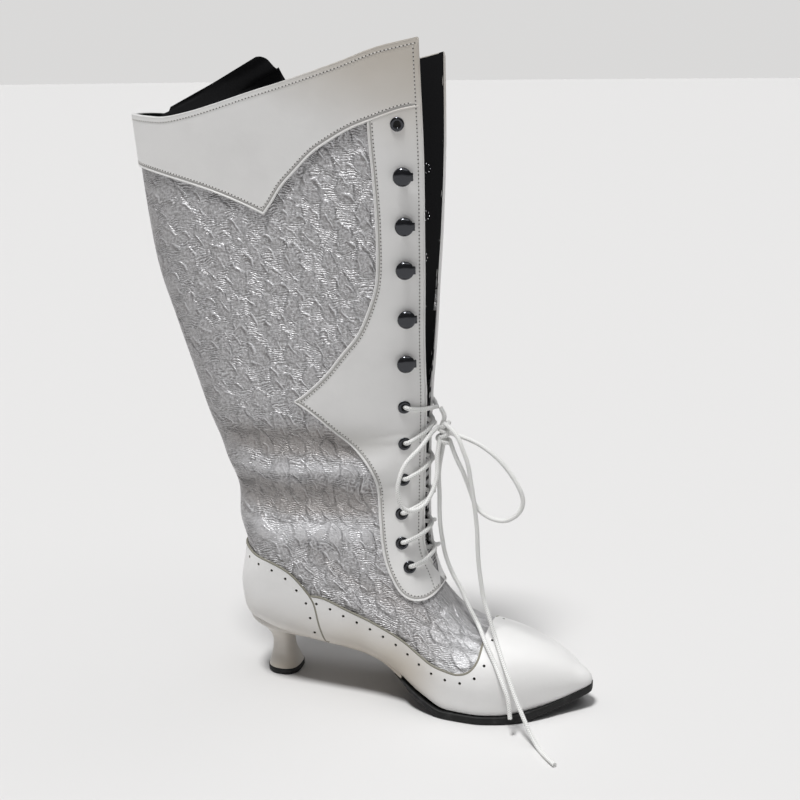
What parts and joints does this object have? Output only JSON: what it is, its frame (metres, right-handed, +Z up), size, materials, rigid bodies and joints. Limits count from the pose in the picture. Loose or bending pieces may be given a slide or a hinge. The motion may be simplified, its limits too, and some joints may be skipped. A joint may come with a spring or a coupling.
{
  "type": "mid-calf lace-up boot",
  "caption": "Mid-calf lace-up boot with a pointed wingtip toe, spool heel, leather collar band, patterned cloth shaft and an open laced front.",
  "frame": {"origin": "on the floor under the middle of the heel's top piece", "axes": "+X forward to the toe, +Y to the inner side of the right foot, +Z up"},
  "size_m": [0.3202, 0.125, 0.4446],
  "materials": {
    "white_leather": "smooth white leather with a soft sheen",
    "white_brocade": "white satin brocade with raised leaves",
    "lining_leather": "black lining, matt",
    "insole_board": "dark sock lining, matt",
    "black_rubber": "matt black",
    "dark_metal": "glossy dark gunmetal",
    "white_lace": "round braided cord, matt"
  },
  "bodies": {
    "root": {"bow_loop_fore": "white_lace", "bow_loop_outer": "white_lace", "counter": "white_leather", "cuff": "white_leather", "eyelet_inner_1": "dark_metal", "eyelet_inner_10": "dark_metal", "eyelet_inner_11": "dark_metal", "eyelet_inner_12": "dark_metal", "eyelet_inner_7": "dark_metal", "eyelet_inner_8": "dark_metal", "eyelet_inner_9": "dark_metal", "eyelet_outer_1": "dark_metal", "eyelet_outer_10": "dark_metal", "eyelet_outer_11": "dark_metal", "eyelet_outer_12": "dark_metal", "eyelet_outer_7": "dark_metal", "eyelet_outer_8": "dark_metal", "eyelet_outer_9": "dark_metal", "heel": "white_leather", "hook_inner_2": "dark_metal", "hook_inner_3": "dark_metal", "hook_inner_4": "dark_metal", "hook_inner_5": "dark_metal", "hook_inner_6": "dark_metal", "hook_outer_2": "dark_metal", "hook_outer_3": "dark_metal", "hook_outer_4": "dark_metal", "hook_outer_5": "dark_metal", "hook_outer_6": "dark_metal", "insole": "insole_board", "lace_crossings": "white_lace", "lace_end_one": "white_lace", "lace_end_two": "white_lace", "lace_facing": "white_leather", "lace_knot": "white_lace", "outsole": "black_rubber", "tongue": "lining_leather", "top_piece": "black_rubber", "upper": "white_brocade", "vamp_wing": "white_leather"}
  },
  "joints": []
}
